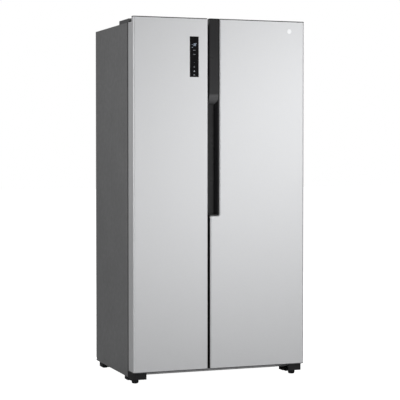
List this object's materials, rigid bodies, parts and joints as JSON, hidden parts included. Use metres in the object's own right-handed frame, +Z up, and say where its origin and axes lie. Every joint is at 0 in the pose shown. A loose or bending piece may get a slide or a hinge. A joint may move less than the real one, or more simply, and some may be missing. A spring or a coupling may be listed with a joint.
{
  "type": "side by side refrigerator",
  "caption": "Side by side refrigerator with hinged freezer and fridge doors, a recessed upright handle strip, a glass display, shelves, drawers, door bins and rollers.",
  "frame": {"origin": "on the floor, under the middle of the footprint", "axes": "+X to the right seen from the front, +Y towards the back, +Z up; the doors face -Y"},
  "size_m": [0.9, 0.652, 1.78],
  "materials": {
    "door_silver": "satin silver coated sheet, fine metallic grain",
    "side_grey": "fine textured dark grey paint",
    "zinc_sheet": "zinc coated sheet",
    "beam_grey": "light grey paint",
    "black_steel": "black paint",
    "hinge_steel": "plated steel",
    "bright_steel": "bright plated",
    "aluminium": "mill finish",
    "copper": "dull copper tube",
    "dark_plastic": "fine grained dark grey moulding",
    "black_plastic": "black moulding",
    "gloss_black": "gloss black moulding",
    "display_glass": "black glass",
    "white_abs": "white formed plastic",
    "clear_plastic": "clear moulding",
    "shelf_glass": "clear toughened glass",
    "trim_silver": "silver moulding",
    "foam": "rigid insulating foam",
    "seal_grey": "soft grey seal",
    "black_rubber": "black rubber"
  },
  "bodies": {
    "cabinet": {"side_panel_left": "side_grey", "side_panel_right": "side_grey", "top_panel": "side_grey", "back_panel": "zinc_sheet", "base_plate": "zinc_sheet", "front_beam": "beam_grey", "insulation_foam": "foam", "freezer_liner": "white_abs", "fridge_liner": "white_abs", "mullion_trim": "white_abs", "evaporator_cover": "white_abs", "evaporator_coil": "aluminium", "evaporator_fan_motor": "dark_plastic", "fridge_air_duct": "white_abs", "lamp_lenses": "white_abs", "freezer_shelf_glass": "shelf_glass", "fridge_shelf_glass": "shelf_glass", "shelf_trims": "trim_silver", "compressor": "black_steel", "compressor_grommets": "black_rubber", "condenser_coil": "copper", "condenser_fan_shroud": "dark_plastic", "drain_pan": "dark_plastic", "machine_cover": "zinc_sheet", "cord_gland": "black_rubber", "control_board_cover": "zinc_sheet", "refrigerant_pipes": "copper", "hinges_top": "hinge_steel", "hinge_covers": "dark_plastic", "hinges_bottom": "black_steel", "screws": "bright_steel", "roller_brackets": "black_plastic", "roller_axles": "bright_steel"},
    "left_door": {"left_door_skin": "door_silver", "left_door_caps": "dark_plastic", "left_door_foam": "foam", "left_door_liner": "white_abs", "left_door_gasket": "seal_grey", "left_door_bins": "clear_plastic", "display_panel": "display_glass"},
    "right_door": {"right_door_skin": "door_silver", "right_door_caps": "dark_plastic", "right_door_foam": "foam", "right_door_liner": "white_abs", "right_door_gasket": "seal_grey", "right_door_bins": "clear_plastic", "handle_pocket": "gloss_black", "badge": "bright_steel"},
    "freezer_drawer_upper_body": {"freezer_drawer_upper": "clear_plastic"},
    "freezer_drawer_lower_body": {"freezer_drawer_lower": "clear_plastic"},
    "crisper_upper_body": {"crisper_upper": "clear_plastic"},
    "crisper_lower_body": {"crisper_lower": "clear_plastic"},
    "foot_left_body": {"foot_left": "black_plastic"},
    "foot_right_body": {"foot_right": "black_plastic"},
    "roller_front_left_body": {"roller_front_left": "black_plastic"},
    "roller_front_right_body": {"roller_front_right": "black_plastic"},
    "roller_rear_left_body": {"roller_rear_left": "black_plastic"},
    "roller_rear_right_body": {"roller_rear_right": "black_plastic"},
    "evaporator_fan_body": {"evaporator_fan": "white_abs"},
    "condenser_fan_body": {"condenser_fan": "white_abs"}
  },
  "joints": [
    {"name": "left_door_hinge", "type": "hinge", "parent": "cabinet", "child": "left_door", "pos_m": [-0.425, -0.275, 0.06], "axis": [0, 0, -1], "range_deg": [0, 110]},
    {"name": "right_door_hinge", "type": "hinge", "parent": "cabinet", "child": "right_door", "pos_m": [0.425, -0.275, 0.06], "axis": [0, 0, 1], "range_deg": [0, 110]},
    {"name": "freezer_drawer_upper_slide", "type": "slide", "parent": "cabinet", "child": "freezer_drawer_upper_body", "axis": [0, -1, 0], "range_m": [0, 0.065]},
    {"name": "freezer_drawer_lower_slide", "type": "slide", "parent": "cabinet", "child": "freezer_drawer_lower_body", "axis": [0, -1, 0], "range_m": [0, 0.065]},
    {"name": "crisper_upper_slide", "type": "slide", "parent": "cabinet", "child": "crisper_upper_body", "axis": [0, -1, 0], "range_m": [0, 0.065]},
    {"name": "crisper_lower_slide", "type": "slide", "parent": "cabinet", "child": "crisper_lower_body", "axis": [0, -1, 0], "range_m": [0, 0.065]},
    {"name": "foot_left_turn", "type": "hinge", "parent": "cabinet", "child": "foot_left_body", "pos_m": [-0.417, -0.247, 0], "axis": [0, 0, 1], "continuous": true},
    {"name": "foot_right_turn", "type": "hinge", "parent": "cabinet", "child": "foot_right_body", "pos_m": [0.417, -0.247, 0], "axis": [0, 0, 1], "continuous": true},
    {"name": "roller_front_left_spin", "type": "hinge", "parent": "cabinet", "child": "roller_front_left_body", "pos_m": [-0.414, -0.195, 0.0155], "axis": [1, 0, 0], "continuous": true},
    {"name": "roller_front_right_spin", "type": "hinge", "parent": "cabinet", "child": "roller_front_right_body", "pos_m": [0.414, -0.195, 0.0155], "axis": [1, 0, 0], "continuous": true},
    {"name": "roller_rear_left_spin", "type": "hinge", "parent": "cabinet", "child": "roller_rear_left_body", "pos_m": [-0.426, 0.245, 0.014], "axis": [1, 0, 0], "continuous": true},
    {"name": "roller_rear_right_spin", "type": "hinge", "parent": "cabinet", "child": "roller_rear_right_body", "pos_m": [0.426, 0.245, 0.014], "axis": [1, 0, 0], "continuous": true},
    {"name": "evaporator_fan_spin", "type": "hinge", "parent": "cabinet", "child": "evaporator_fan_body", "pos_m": [-0.241, 0.215, 1.13], "axis": [0, 1, 0], "continuous": true},
    {"name": "condenser_fan_spin", "type": "hinge", "parent": "cabinet", "child": "condenser_fan_body", "pos_m": [-0.054, 0.218, 0.145], "axis": [1, 0, 0], "continuous": true}
  ]
}
